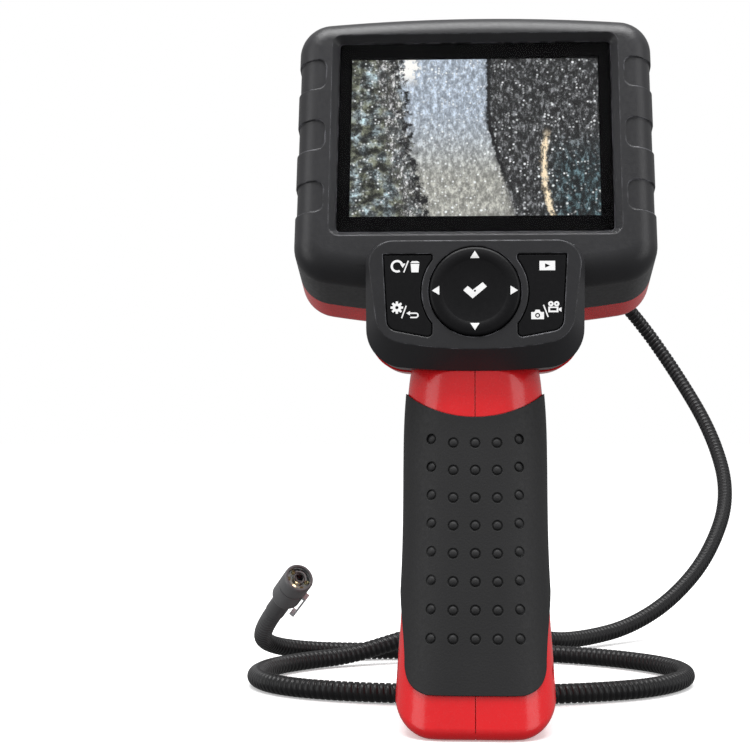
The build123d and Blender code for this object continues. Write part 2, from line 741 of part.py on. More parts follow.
# --- key frame, membrane and board behind the keypad ------------------------------------------
def board_outline(level):
    """Outline shared by the frame, the membrane and the board behind the keys."""
    return keypad_outline(KEYPAD.offset(-level), 26.6, 23.8, 11.6, -12.0, 3.0, 3.0, 6.0)


with BuildPart() as keypad_frame:
    extrude(to_extrude=board_outline(8.6), amount=1.0)
    with BuildSketch(KEYPAD.offset(-8.6)):
        with Locations(PAD_CENTRE):
            Circle(2.98)
        with Locations(*PEG_POINTS):
            Circle(1.4)
    extrude(amount=1.0, mode=Mode.SUBTRACT)
    # ears that hold the side keys' studs
    with BuildSketch(KEYPAD.offset(-7.7)):
        with Locations((-22.9, 0), (-15.5, 0), (15.5, 0), (22.9, 0)):
            Rectangle(1.0, 3.0)
    extrude(amount=3.5)
    stud_line = Plane(
        origin=KEYPAD.from_local_coords((0, 0, -KEY_PIVOT)), x_dir=KEYPAD.y_dir,
        z_dir=(1, 0, 0))
    with BuildSketch(stud_line.offset(-24)):
        Circle(0.75)
    extrude(amount=48, mode=Mode.SUBTRACT)
save(keypad_frame.part, "keypad_frame")

with BuildPart() as keypad_membrane:
    extrude(to_extrude=board_outline(10.0), amount=0.5)
    with BuildSketch(KEYPAD.offset(-9.6)):
        with Locations(*PEG_POINTS):
            Circle(2.2)
    extrude(amount=0.4, taper=30)
    with BuildSketch(KEYPAD.offset(-9.6)):
        with Locations(PAD_CENTRE):
            Circle(3.4)
    extrude(amount=0.4, taper=30)
save(keypad_membrane.part, "keypad_membrane")

with BuildPart() as keypad_board:
    extrude(to_extrude=board_outline(11.2), amount=1.2)
save(keypad_board.part, "keypad_board")

# --- battery door, its pin and its captive screw ----------------------------------------------
with BuildPart() as battery_door:
    add(handle_form)
    with BuildSketch(BAY.offset(2.0)):
        with Locations((0, 35.65)):
            Rectangle(28.4, 68.7)
    extrude(amount=-12, mode=Mode.INTERSECT)
    with BuildSketch(DOOR_HINGE.offset(-14.2)):
        Circle(1.3)
    extrude(amount=28.4)
    with BuildSketch(DOOR_HINGE.offset(-15)):
        Circle(0.66)
    extrude(amount=30, mode=Mode.SUBTRACT)
    with BuildSketch(BAY.offset(1.0)):
        with Locations((0, 66)):
            Circle(3.0)
    extrude(amount=-6, mode=Mode.SUBTRACT)
    with BuildSketch(BAY.offset(-1)):
        with Locations((0, 66)):
            Circle(1.5)
    extrude(amount=6, mode=Mode.SUBTRACT)
    # grip ridges for the thumb
    with BuildSketch(BAY.offset(0.4)):
        with Locations((0, 52), (0, 54.5), (0, 57)):
            SlotOverall(12, 1.0)
    extrude(amount=-3, mode=Mode.SUBTRACT)
save(battery_door.part, "battery_door")

with BuildPart() as door_pin:
    with BuildSketch(DOOR_HINGE.offset(-16.2)):
        Circle(0.6)
    extrude(amount=32.4)
save(door_pin.part, "door_pin")

with BuildPart() as door_screw:
    with BuildSketch(BAY.offset(0.95)):
        with Locations((0, 66)):
            Circle(2.8)
    extrude(amount=-1.05)
    with BuildSketch(BAY.offset(-0.1)):
        with Locations((0, 66)):
            Rectangle(5.8, 0.8)
    extrude(amount=0.7, mode=Mode.SUBTRACT)
    with BuildSketch(BAY.offset(0.9)):
        with Locations((0, 66)):
            Circle(1.43)
    extrude(amount=5.6)
save(door_screw.part, "door_screw")

# --- battery tray, four cells and their contacts ----------------------------------------------
with BuildPart() as battery_tray:
    with BuildSketch(BAY.offset(4.2)):
        with Locations((0, 31.25)):
            Rectangle(31.2, 59.5)
    extrude(amount=30)
    fillet(battery_tray.faces().sort_by(Axis(BAY.origin, BAY.z_dir))[-1].edges(), 2.5)
    with BuildSketch(BAY.offset(3)):
        with Locations((0, 31.25)):
            Rectangle(29.0, 57.3)
    extrude(amount=19, mode=Mode.SUBTRACT)
    with BuildSketch(BAY.offset(22)):
        with Locations((-7.2, 31.25), (7.2, 31.25)):
            Rectangle(14.4, 57.3)
    extrude(amount=3.9, mode=Mode.SUBTRACT)
    for side in (-1, 1):
        with BuildSketch(Plane(
                origin=BAY.from_local_coords((side * 7.2, 2.6, 25.9)), x_dir=(1, 0, 0),
                z_dir=BAY.y_dir)):
            Circle(7.25)
        extrude(amount=57.3, mode=Mode.SUBTRACT)
save(battery_tray.part, "battery_tray")

CELL_POINTS = [(-7.2, 11.6), (7.2, 11.6), (-7.2, 25.9), (7.2, 25.9)]
for count, (across, deep) in enumerate(CELL_POINTS, start=1):
    with BuildPart() as battery_cell:
        with BuildSketch(Plane(
                origin=BAY.from_local_coords((across, 5.6, deep)), x_dir=(1, 0, 0),
                z_dir=BAY.y_dir)):
            Circle(CELL_R)
        extrude(amount=CELL_LENGTH - 1)
        fillet(battery_cell.edges(), 0.5)
        with BuildSketch(Plane(
                origin=BAY.from_local_coords((across, 5.6 + CELL_LENGTH - 1, deep)),
                x_dir=(1, 0, 0), z_dir=BAY.y_dir)):
            Circle(2.7)
        extrude(amount=1)
    save(battery_cell.part, f"battery_cell_{count}")

with BuildPart() as upper_contacts:
    for across, deep in CELL_POINTS:
        with BuildSketch(Plane(
                origin=BAY.from_local_coords((across, 59.3, deep)), x_dir=(1, 0, 0),
                z_dir=BAY.y_dir)):
            Rectangle(9, 9)
        extrude(amount=0.5)
save(upper_contacts.part, "upper_contacts")

# each lower contact is a plate with a spring, which is a short tube here
with BuildPart() as lower_contacts:
    for across, deep in CELL_POINTS:
        with BuildSketch(Plane(
                origin=BAY.from_local_coords((across, 2.7, deep)), x_dir=(1, 0, 0),
                z_dir=BAY.y_dir)):
            Rectangle(9, 9)
        extrude(amount=0.4)
        with BuildSketch(Plane(
                origin=BAY.from_local_coords((across, 3.0, deep)), x_dir=(1, 0, 0),
                z_dir=BAY.y_dir)):
            Circle(2.6)
            Circle(1.9, mode=Mode.SUBTRACT)
        extrude(amount=2.5)
save(lower_contacts.part, "lower_contacts")

# --- probe port: socket in the housing, plug and locking ring ---------------------------------
def turned(plane, points):
    """Solid of revolution about a plane's normal, from (radius, distance) points."""
    profile = Plane(origin=plane.origin, x_dir=plane.x_dir, z_dir=-plane.y_dir)
    with BuildPart() as body:
        with BuildSketch(profile):
            with BuildLine():
                Polyline(*points, close=True)
            make_face()
        revolve(axis=Axis(plane.origin, plane.z_dir))
    return body.part


with BuildPart() as probe_socket:
    add(turned(PORT, [
        (0, -6), (6, -6), (6, -4.1), (9, -4.1), (9, -2.5), (7, -2.5), (7, 6), (5.2, 6),
        (5.2, -3), (0, -3)]))
    with BuildSketch(PORT.offset(-3.2)):
        with PolarLocations(2.6, 4):
            Circle(0.5)
    extrude(amount=4.5)
save(probe_socket.part, "probe_socket")

with BuildPart() as probe_plug:
    add(turned(PORT, [
        (0, 2.7), (5.1, 2.7), (5.1, 6.1), (6.9, 6.1), (6.9, 7.9), (5.2, 7.9), (5.2, 16),
        (0, 16)]))
save(probe_plug.part, "probe_plug")

with BuildPart() as locking_ring:
    add(turned(PORT, [
        (7.1, 1.2), (8.4, 1.2), (9, 1.8), (9, 14.4), (8.4, 15), (5.5, 15), (5.5, 8.1),
        (7.1, 8.1)]))
    with BuildSketch(PORT.offset(2.6)):
        with PolarLocations(9.3, 24):
            Circle(0.7)
    extrude(amount=11, mode=Mode.SUBTRACT)
save(locking_ring.part, "locking_ring")

relief_points = [(0, 16), (5.2, 16), (5.2, 19)]
for ring in range(5):
    start = 19.5 + 2.8 * ring
    relief_points.append((4.3 - 0.22 * ring, start))
    relief_points.append((4.3 - 0.22 * ring, start + 0.8))
    relief_points.append((4.9 - 0.28 * ring, start + 1.2))
    relief_points.append((4.9 - 0.28 * ring, start + 2.4))
with BuildPart() as strain_relief:
    add(turned(PORT, relief_points + [(3.4, 34), (0, 34)]))
save(strain_relief.part, "strain_relief")

# --- gooseneck --------------------------------------------------------------------------------
points = [Vector(*point) for point in ROUTE]
runs = [end - start for start, end in zip(points, points[1:])]
bend_radii = [
    0.45 * min(run.length, following.length) / tan(radians(run.get_angle(following)) / 2)
    for run, following in zip(runs, runs[1:])
]
with BuildPart() as gooseneck:
    with BuildLine() as centre_line:
        FilletPolyline(*points, radius=bend_radii)
    with BuildSketch(Plane(origin=points[0], z_dir=runs[0])) as neck_section:
        Circle(NECK_D / 2)
    sweep(path=centre_line.wire())
save(gooseneck.part, "gooseneck")
neck_length = centre_line.wire().length
print("gooseneck bend radii", [round(radius, 1) for radius in bend_radii])
print(f"gooseneck length {neck_length:.1f} mm, smallest radius {min(bend_radii):.1f} mm")
neck_share = gooseneck.part.volume / (neck_section.sketch.area * neck_length)
print(f"gooseneck volume over section times length {neck_share:.4f}")

# --- tip: sleeve, camera housing, bezel, lights and lens --------------------------------------
with BuildPart() as tip_sleeve:
    add(turned(TIP, [(0, 0), (3.1, 0), (3.1, 9.6), (2.8, 10), (0, 10)]))
save(tip_sleeve.part, "tip_sleeve")

with BuildPart() as camera_housing:
    add(turned(TIP, [
        (0, 10), (3.3, 10), (4.1, 10.6), (TIP_R, 11.8), (TIP_R, 18.8), (4.2, 18.8),
        (4.2, 19.3), (TIP_R, 19.3), (TIP_R, 23), (3.6, 23), (3.6, 21.2), (0, 21.2)]))
save(camera_housing.part, "camera_housing")

with BuildPart() as lens_bezel:
    add(turned(TIP, [(3.6, 23), (TIP_R, 23), (TIP_R, 24.4), (4.2, 25), (3.6, 25)]))
save(lens_bezel.part, "lens_bezel")

with BuildPart() as led_board:
    with BuildSketch(TIP.offset(21.2)):
        Circle(3.55)
    extrude(amount=0.8)
save(led_board.part, "led_board")

LENS_CENTRE = (0.1, 0.6)
with BuildPart() as lens_barrel:
    with BuildSketch(TIP.offset(22)):
        with Locations(LENS_CENTRE):
            Circle(1.9)
    extrude(amount=2.6)
    with BuildSketch(TIP.offset(24.6)):
        with Locations(LENS_CENTRE):
            Circle(1.5)
    extrude(amount=-0.4, mode=Mode.SUBTRACT)
    with BuildSketch(TIP.offset(24.2)):
        with Locations(LENS_CENTRE):
            Circle(1.1)
    extrude(amount=-1.2, mode=Mode.SUBTRACT)
save(lens_barrel.part, "lens_barrel")

with BuildPart() as lens:
    with BuildSketch(TIP.offset(23)):
        with Locations(LENS_CENTRE):
            Circle(1.1)
    extrude(amount=1.2)
    fillet(lens.faces().sort_by(Axis(TIP.origin, TIP.z_dir))[-1].edges(), 0.5)
save(lens.part, "lens")

with BuildPart() as leds:
    with BuildSketch(TIP.offset(22)):
        with Locations((0.26, -2.3), (-2.4, -1.2), (2.5, -1.2), (-2.4, 1.5), (2.5, 1.45)):
            Circle(0.6)
    extrude(amount=0.8)
save(leds.part, "leds")

with BuildPart() as face_glass:
    with BuildSketch(TIP.offset(23.6)):
        Circle(3.58)
        with Locations(LENS_CENTRE):
            Circle(1.92, mode=Mode.SUBTRACT)
    extrude(amount=0.5)
save(face_glass.part, "face_glass")

with BuildPart() as tip_clip:
    with BuildSketch(TIP.offset(5.5)):
        with Locations((5.4, 0)):
            Rectangle(0.6, 2.2)
    extrude(amount=13)
    for foot in (5.5, 17.3):
        with BuildSketch(TIP.offset(foot)):
            with Locations((4.7, 0)):
                Rectangle(1.4, 2.2)
        extrude(amount=1.2)
    with BuildSketch(TIP.offset(11)):
        Circle(TIP_R)
    extrude(amount=12, mode=Mode.SUBTRACT)
save(tip_clip.part, "tip_clip")
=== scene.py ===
import math

import bmesh
import bpy
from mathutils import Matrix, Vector
from mathutils.bvhtree import BVHTree
from mathutils.geometry import tessellate_polygon


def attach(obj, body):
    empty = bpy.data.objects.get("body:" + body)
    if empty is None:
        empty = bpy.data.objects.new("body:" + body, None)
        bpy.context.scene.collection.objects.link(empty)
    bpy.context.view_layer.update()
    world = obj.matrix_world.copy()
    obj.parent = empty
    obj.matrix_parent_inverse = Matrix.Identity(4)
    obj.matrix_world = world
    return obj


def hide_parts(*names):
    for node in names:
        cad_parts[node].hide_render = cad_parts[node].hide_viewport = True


# Looks of the hand-held inspection camera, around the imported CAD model.
# Blender's units are metres. Places on the object are given in its work planes, in millimetres.

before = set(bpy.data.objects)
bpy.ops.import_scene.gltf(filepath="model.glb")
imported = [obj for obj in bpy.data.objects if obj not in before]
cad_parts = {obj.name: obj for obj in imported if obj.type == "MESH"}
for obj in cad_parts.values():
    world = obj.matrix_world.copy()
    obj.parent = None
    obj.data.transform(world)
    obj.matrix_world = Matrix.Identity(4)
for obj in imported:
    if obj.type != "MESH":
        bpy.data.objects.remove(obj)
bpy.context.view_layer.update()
MM = 0.001


class Place:
    """A work plane of the object: x to the right, y up it and z out of it."""

    def __init__(self, origin, outward, right=(1, 0, 0)):
        self.origin = Vector(origin)
        self.z = Vector(outward).normalized()
        self.x = (Vector(right) - Vector(right).project(self.z)).normalized()
        self.y = self.z.cross(self.x)

    def point(self, u, v, w=0.0):
        """The point at u, v and w millimetres, in metres."""
        return self.origin + (self.x * u + self.y * v + self.z * w) * MM


def tilted(origin, degrees_back):
    """A plane that faces the user and leans back."""
    lean = math.radians(degrees_back)
    return Place(origin, (0, -math.cos(lean), math.sin(lean)))


FACE = tilted((0, 0.01455, 0.1623), 16.0)        # the head's front, at the screen's centre
KEYPAD = tilted((0, -0.0048, 0.1156), 8.8)       # the keypad's face
BAY = tilted((0, 0.028294, 0.013), math.degrees(math.atan(0.138)))

# Gooseneck: the same route as in the CAD model.
NECK_ROUTE = [
    (0, 0.0879, 0.1496), (0, 0.114, 0.1421), (0.005, 0.150, 0.136), (0.017, 0.196, 0.139),
    (0.031, 0.243, 0.148), (0.050, 0.282, 0.147), (0.071, 0.303, 0.128), (0.088, 0.300, 0.103),
    (0.101, 0.279, 0.076), (0.104, 0.252, 0.051), (0.092, 0.224, 0.029), (0.075, 0.200, 0.014),
    (0.057, 0.181, 0.0055), (0.0395, 0.1635, 0.0032), (0.025, 0.145, 0.0045),
    (0.009, 0.135, 0.011), (-0.009, 0.127, 0.012), (-0.026, 0.120, 0.0075),
    (-0.042, 0.1125, 0.0032), (-0.055, 0.103, 0.0029), (-0.066, 0.087, 0.0029),
    (-0.069, 0.0655, 0.0029), (-0.059, 0.0465, 0.0029), (-0.036, 0.0355, 0.0029),
    (0.005, 0.0315, 0.0029), (0.033, 0.038, 0.0029), (0.054, 0.050, 0.0029),
    (0.066, 0.071, 0.0029), (0.064, 0.093, 0.0029), (0.050, 0.111, 0.0029),
    (0.028, 0.124, 0.0029), (-0.001, 0.131, 0.0029), (-0.026, 0.130, 0.0029),
    (-0.043, 0.127, 0.0029), (-0.058, 0.1175, 0.0045), (-0.068, 0.102, 0.008),
    (-0.069, 0.0855, 0.014), (-0.0623, 0.0716, 0.0225),
]
NECK_DIAMETER = 0.0058
RIB_PITCH = 0.0019
RIB_DEPTH = 0.00042
TIP = Place(NECK_ROUTE[-1], Vector(NECK_ROUTE[-1]) - Vector(NECK_ROUTE[-2]), (0.8, 0.007, -0.6))
LIT_LED = TIP.point(0.26, -2.3, 22.4)            # the one diode that is lit

LINE_DENSITY = (900, 900, 60)                    # lines in metal: fine across, long along
PICTURE_V = 0.7                                  # the picture's centre above the screen's
PRINT_LIFT = 0.03 * MM                           # the printing stands this far off its key
PRINT_THICKNESS = 0.06 * MM
FLOOR_LEVEL = -0.0002                            # just under the foot, so the faces don't meet


# --- camera -------------------------------------------------------------------------------
def make_camera():
    """The camera stands in front of the object, level with its middle and turned a little left."""
    data = bpy.data.cameras.new("camera")
    data.lens = 84.1
    data.sensor_width = 36.0
    data.clip_start = 0.01
    camera = bpy.data.objects.new("camera", data)
    camera.location = (0, -0.474, 0.081)
    looking = Vector((-0.0571, 1, 0.0274))
    camera.rotation_euler = looking.to_track_quat("-Z", "Y").to_euler()
    bpy.context.collection.objects.link(camera)
    bpy.context.scene.camera = camera


# --- mesh helpers -------------------------------------------------------------------------
def new_piece(name, points, faces, material, smooth=True):
    """A mesh object from points and faces, with one material."""
    mesh = bpy.data.meshes.new(name)
    mesh.from_pydata([tuple(point) for point in points], [], faces)
    mesh.update()
    mesh.polygons.foreach_set("use_smooth", [smooth] * len(mesh.polygons))
    mesh.materials.append(material)
    piece = bpy.data.objects.new(name, mesh)
    bpy.context.collection.objects.link(piece)
    return piece


def spline_points(route, fineness):
    """Points along the smooth NURBS line that has the route as its control points."""
    data = bpy.data.curves.new("route", "CURVE")
    data.dimensions = "3D"
    data.resolution_u = fineness
    spline = data.splines.new("NURBS")
    spline.points.add(len(route) - 1)
    for control, place in zip(spline.points, route):
        control.co = (*place, 1.0)
    spline.order_u = 3
    spline.use_endpoint_u = True
    curve = bpy.data.objects.new("route", data)
    mesh = bpy.data.meshes.new_from_object(curve)
    points = [vertex.co.copy() for vertex in mesh.vertices]
    bpy.data.objects.remove(curve)
    bpy.data.curves.remove(data)
    bpy.data.meshes.remove(mesh)
    return points


def evenly_spaced(points, step):
    """Points a step apart along a line, with their distances from its start."""
    spaced = [points[0]]
    distances = [0.0]
    travelled = 0.0
    for start, end in zip(points, points[1:]):
        run = (end - start).length
        while distances[-1] + step <= travelled + run:
            distances.append(distances[-1] + step)
            spaced.append(start.lerp(end, (distances[-1] - travelled) / run))
        travelled += run
    return spaced, distances


def frames_along(points):
    """Two directions across the line at each point, turning as little as they can."""
    across = Vector((1, 0, 0))
    frames = []
    for index in range(len(points)):
        ahead = points[min(index + 1, len(points) - 1)]
        along = (ahead - points[max(index - 1, 0)]).normalized()
        across = (across - across.project(along)).normalized()
        frames.append((across, along.cross(across)))
    return frames


# --- gooseneck ----------------------------------------------------------------------------
def rib_height(turn):
    """Height of the jacket's surface over its groove at a part of the rib's pitch, 0 to 1."""
    return 1.0 - max(0.0, math.cos(2 * math.pi * turn)) ** 2


def make_gooseneck(material):
    """The ribbed jacket: one rib winds round the neck from the strain relief to the tip."""
    rings_in_pitch = 7
    sides = 20
    crest = NECK_DIAMETER / 2
    groove = crest - RIB_DEPTH
    line = spline_points(NECK_ROUTE, 24)
    centres, distances = evenly_spaced(line, RIB_PITCH / rings_in_pitch)
    points = []
    for centre, distance, (across, upward) in zip(centres, distances, frames_along(centres)):
        for side in range(sides):
            share = side / sides
            angle = 2 * math.pi * share
            height = rib_height(distance / RIB_PITCH - share)
            radius = groove + (crest - groove) * height
            points.append(centre + (across * math.cos(angle) + upward * math.sin(angle)) * radius)
    faces = []
    for ring in range(len(centres) - 1):
        for side in range(sides):
            here = ring * sides
            beside = (side + 1) % sides
            faces.append((here + side, here + beside, here + sides + beside, here + sides + side))
    faces.append(tuple(reversed(range(sides))))
    faces.append(tuple(range(len(points) - sides, len(points))))
    jacket = new_piece("gooseneck_jacket", points, faces, material)
    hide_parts("gooseneck")
    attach(jacket, "housing")


# --- materials ----------------------------------------------------------------------------
class Shader:
    """One procedural material. Its methods add nodes and give back their outputs."""

    def __init__(self, name):
        self.material = bpy.data.materials.new(name)
        self.material.use_nodes = True
        self.tree = self.material.node_tree
        self.surface = self.tree.nodes["Principled BSDF"]
        self.place = self.node("ShaderNodeTexCoord", {}, "Object")

    def node(self, kind, inputs, output=0, **settings):
        """Add a node, feed its inputs, and give back one output."""
        made = self.tree.nodes.new(kind)
        for key, value in settings.items():
            setattr(made, key, value)
        for socket, value in inputs.items():
            self.feed(made.inputs[socket], value)
        return made.outputs[output]

    def feed(self, socket, value):
        """Link an output to a socket, or set the socket's own value."""
        if isinstance(value, bpy.types.NodeSocket):
            self.tree.links.new(value, socket)
        else:
            socket.default_value = value

    def set(self, **sockets):
        """Set the surface's sockets, named with underscores."""
        for name, value in sockets.items():
            self.feed(self.surface.inputs[name.replace("_", " ")], value)

    def math(self, operation, first, second=0.0):
        return self.node("ShaderNodeMath", {0: first, 1: second}, operation=operation)

    def along(self, place, axis):
        """Distance from a work plane's origin along one of its axes, in millimetres."""
        offset = self.node(
            "ShaderNodeVectorMath", {0: self.place, 1: place.origin}, operation="SUBTRACT")
        return self.node(
            "ShaderNodeVectorMath", {0: offset, 1: axis / MM}, "Value", operation="DOT_PRODUCT")

    def noise(self, scale, detail=3.0, roughness=0.5, vector=None):
        """Noise, 0 to 1, with about scale features to the metre, or to the vector's unit."""
        return self.node("ShaderNodeTexNoise", {
            "Vector": vector or self.place, "Scale": scale, "Detail": detail,
            "Roughness": roughness})

    def spots(self, scale, vector=None, output="Distance", **settings):
        return self.node(
            "ShaderNodeTexVoronoi", {"Vector": vector or self.place, "Scale": scale}, output,
            **settings)

    def ramp(self, value, stops):
        """Colours between stops, given as {position: (red, green, blue)}."""
        output = self.node("ShaderNodeValToRGB", {"Fac": value})
        ramp = output.node.color_ramp
        for position, colour in list(stops.items())[2:]:
            ramp.elements.new(position)
        for element, (position, colour) in zip(ramp.elements, sorted(stops.items())):
            element.position = position
            element.color = (*colour, 1.0)
        return output

    def span(self, value, low, high, to_low=0.0, to_high=1.0):
        """Smooth step of value from low to high."""
        return self.node("ShaderNodeMapRange", {
            "Value": value, "From Min": low, "From Max": high, "To Min": to_low,
            "To Max": to_high}, interpolation_type="SMOOTHSTEP")

    def mix(self, share, first, second, blend="MIX"):
        return self.node(
            "ShaderNodeMix", {0: share, 6: first, 7: second}, 2, data_type="RGBA",
            blend_type=blend)

    def bump(self, height, distance, strength=1.0, normal=None):
        inputs = {"Height": height, "Distance": distance, "Strength": strength}
        if normal is not None:
            inputs["Normal"] = normal
        return self.node("ShaderNodeBump", inputs)

    def rounded(self, radius):
        """Normal of the surface as if its edges were rounded."""
        return self.node("ShaderNodeBevel", {"Radius": radius}, samples=6)

    def edges(self, radius):
        """1 on the object's sharp edges, falling to 0 beside them."""
        flat = self.node("ShaderNodeNewGeometry", {}, "Normal")
        agreement = self.node(
            "ShaderNodeVectorMath", {0: self.rounded(radius), 1: flat}, "Value",
            operation="DOT_PRODUCT")
        return self.span(agreement, 0.98, 0.8)


def shade(colour, factor):
    return tuple(part * factor for part in colour)


def moulded(name, colour, roughness, grain, grain_depth, spread=0.12, edge=0.0003, wear_and_highlight=1.5,
            **sockets):
    """Moulded plastic or rubber: cloudy colour, fine grain, and rounded edges lightened in patches:
    wear on most parts, a painted highlight line on the black shell.
    """
    shader = Shader(name)
    cloud = shader.noise(45, 4.0, 0.6)
    body = shader.ramp(cloud, {
        0.3: shade(colour, 1 - spread), 0.5: colour, 0.72: shade(colour, 1 + spread)})
    edges = shader.edges(edge)
    # Edges lightened in noisy patches: wear, and with the black shell's large factor a painted
    # highlight along its edges.
    paler_share = shader.math("MULTIPLY", edges, shader.span(shader.noise(260), 0.42, 0.62))
    shader.set(
        Base_Color=shader.mix(paler_share, body, (*shade(colour, wear_and_highlight), 1.0)),
        Roughness=shader.math(
            "ADD", shader.span(shader.noise(900, 5.0, 0.7), 0.3, 0.7, -0.06, 0.06), roughness),
        Normal=shader.bump(
            shader.noise(grain, 2.0, 0.55), grain_depth, 1.0, shader.rounded(edge)),
        **sockets)
    return shader.material


def metal(name, colour, roughness, metallic=1.0):
    """Plated or anodised metal with fine lines and a few duller patches."""
    shader = Shader(name)
    stretched = shader.node(
        "ShaderNodeVectorMath", {0: shader.place, 1: LINE_DENSITY}, operation="MULTIPLY")
    lines = shader.noise(6, 3.0, 0.6, stretched)
    dull = shader.span(shader.noise(120), 0.45, 0.7, 0.0, 0.14)
    shader.set(
        Base_Color=shader.ramp(lines, {
            0.3: shade(colour, 0.82), 0.5: colour, 0.75: shade(colour, 1.12)}),
        Metallic=metallic,
        Roughness=shader.math("ADD", dull, roughness),
        Normal=shader.bump(lines, 0.00002, 0.6, shader.rounded(0.0002)))
    return shader.material


def glass(name, colour, index):
    """Clear polished glass or acrylic with faint smears in its gloss."""
    shader = Shader(name)
    smears = shader.span(shader.noise(70, 4.0, 0.65), 0.4, 0.75, 0.01, 0.04)
    shader.set(
        Base_Color=shader.ramp(shader.noise(25), {
            0.35: shade(colour, 0.97), 0.65: colour}),
        Transmission_Weight=1.0, IOR=index, Roughness=smears)
    return shader.material


def circuit_board(name):
    """Green solder mask over copper tracks, with tinned pads."""
    shader = Shader(name)
    across = shader.along(FACE, FACE.x)
    upward = shader.along(FACE, FACE.y)
    flat = shader.node("ShaderNodeCombineXYZ", {"X": across, "Y": upward})
    tracks = shader.spots(0.35, flat, "Distance", feature="DISTANCE_TO_EDGE", distance="MANHATTAN")
    on_track = shader.span(tracks, 0.05, 0.09, 1.0, 0.0)
    pads = shader.span(shader.spots(0.22, flat), 0.10, 0.13, 1.0, 0.0)
    mask = shader.mix(on_track, (0.004, 0.045, 0.016, 1.0), (0.010, 0.11, 0.035, 1.0))
    shader.set(
        Base_Color=shader.mix(pads, mask, (0.55, 0.53, 0.48, 1.0)),
        Metallic=pads,
        Roughness=shader.span(shader.noise(300), 0.3, 0.7, 0.28, 0.42),
        Normal=shader.bump(on_track, 0.00004))
    return shader.material


def battery(name):
    """Printed film on each cell: a slate-blue body and a pale band near its top."""
    shader = Shader(name)
    height = shader.along(BAY, BAY.y)
    film = shader.ramp(shader.math("DIVIDE", height, 60.0), {
        0.0: (0.55, 0.55, 0.56), 0.101: (0.55, 0.55, 0.56), 0.106: (0.035, 0.075, 0.13),
        0.72: (0.035, 0.075, 0.13), 0.725: (0.50, 0.50, 0.48), 0.885: (0.50, 0.50, 0.48),
        0.89: (0.6, 0.6, 0.61)})
    film.node.color_ramp.interpolation = "CONSTANT"
    shader.set(
        Base_Color=shader.mix(shader.noise(220), film, (0.08, 0.08, 0.08, 1.0), "SOFT_LIGHT"),
        Metallic=0.35,
        Roughness=shader.span(shader.noise(400), 0.3, 0.7, 0.22, 0.34))
    return shader.material


def jacket(name):
    """The ribbed jacket: black rubber, with a painted highlight of paler grey near the tip."""
    shader = Shader(name)
    distance = shader.node(
        "ShaderNodeVectorMath", {0: shader.place, 1: TIP.origin}, "Value", operation="DISTANCE")
    cloud = shader.math("MULTIPLY", shader.noise(60, 4.0, 0.6), 0.006)
    # Painted highlight: the jacket turns paler grey within about 12 to 34 millimetres of the tip,
    # with a cloudy border.
    paler_share = shader.span(shader.math("ADD", distance, cloud), 0.012, 0.034, 1.0, 0.0)
    shader.set(
        Base_Color=shader.mix(paler_share, shader.ramp(shader.noise(300, 4.0), {
            0.3: (0.0055, 0.0055, 0.0065), 0.7: (0.009, 0.009, 0.0098)}),
            (0.085, 0.085, 0.088, 1.0)),
        Roughness=shader.span(shader.noise(900, 4.0, 0.7), 0.3, 0.7, 0.28, 0.42),
        Specular_IOR_Level=0.4,
        Normal=shader.bump(shader.noise(2500, 2.0), 0.00001))
    return shader.material


def ringed(shader, dark, light, widths):
    """Rings about the tip's axis: dark and light by turns, out to each radius in millimetres."""
    across = shader.along(TIP, TIP.x)
    upward = shader.along(TIP, TIP.y)
    radius = shader.node("ShaderNodeVectorMath", {
        0: shader.node("ShaderNodeCombineXYZ", {"X": across, "Y": upward})}, "Value",
        operation="LENGTH")
    stops = {0.0: dark}
    for index, width in enumerate(widths):
        stops[width / 5] = (light, dark)[index % 2]
    rings = shader.ramp(shader.math("DIVIDE", radius, 5.0), stops)
    rings.node.color_ramp.interpolation = "EASE"
    return rings


def lamp_board(name):
    """The ring of board round the lens: white solder mask and fine grey rings, with a faint painted
    glow that stands in for the diodes' light.
    """
    shader = Shader(name)
    shader.set(
        Base_Color=shader.mix(shader.noise(900), ringed(
            shader, (0.26, 0.26, 0.25), (0.62, 0.62, 0.60), (1.9, 2.2, 2.9, 3.3)),
            (0.22, 0.22, 0.21, 1.0), "SOFT_LIGHT"),
        Roughness=shader.span(shader.noise(1500), 0.3, 0.7, 0.4, 0.55),
        # Painted glow: the board emits a little light of its own.
        Emission_Color=(0.9, 0.9, 0.86, 1.0), Emission_Strength=0.1)
    return shader.material


def barrel(name):
    """Threaded lens barrel: turned black rings with lighter crests."""
    shader = Shader(name)
    shader.set(
        Base_Color=ringed(
            shader, (0.012, 0.012, 0.013), (0.20, 0.20, 0.20), (0.9, 1.2, 1.5, 1.8, 2.1)),
        Roughness=shader.span(shader.noise(1500), 0.3, 0.7, 0.3, 0.45))
    return shader.material


def diodes(name):
    """Yellow phosphor under clear resin. The diode at the rim is lit."""
    shader = Shader(name)
    distance = shader.node(
        "ShaderNodeVectorMath", {0: shader.place, 1: LIT_LED}, "Value", operation="DISTANCE")
    lit = shader.span(distance, 0.0006, 0.0009, 1.0, 0.0)
    grain = shader.noise(4000, 2.0)
    shader.set(
        Base_Color=shader.ramp(grain, {0.3: (0.42, 0.36, 0.16), 0.7: (0.62, 0.56, 0.30)}),
        Roughness=shader.span(grain, 0.3, 0.7, 0.12, 0.3),
        Emission_Color=(1.0, 0.74, 0.42, 1.0),
        Emission_Strength=shader.math("MULTIPLY", lit, 3.0))
    return shader.material


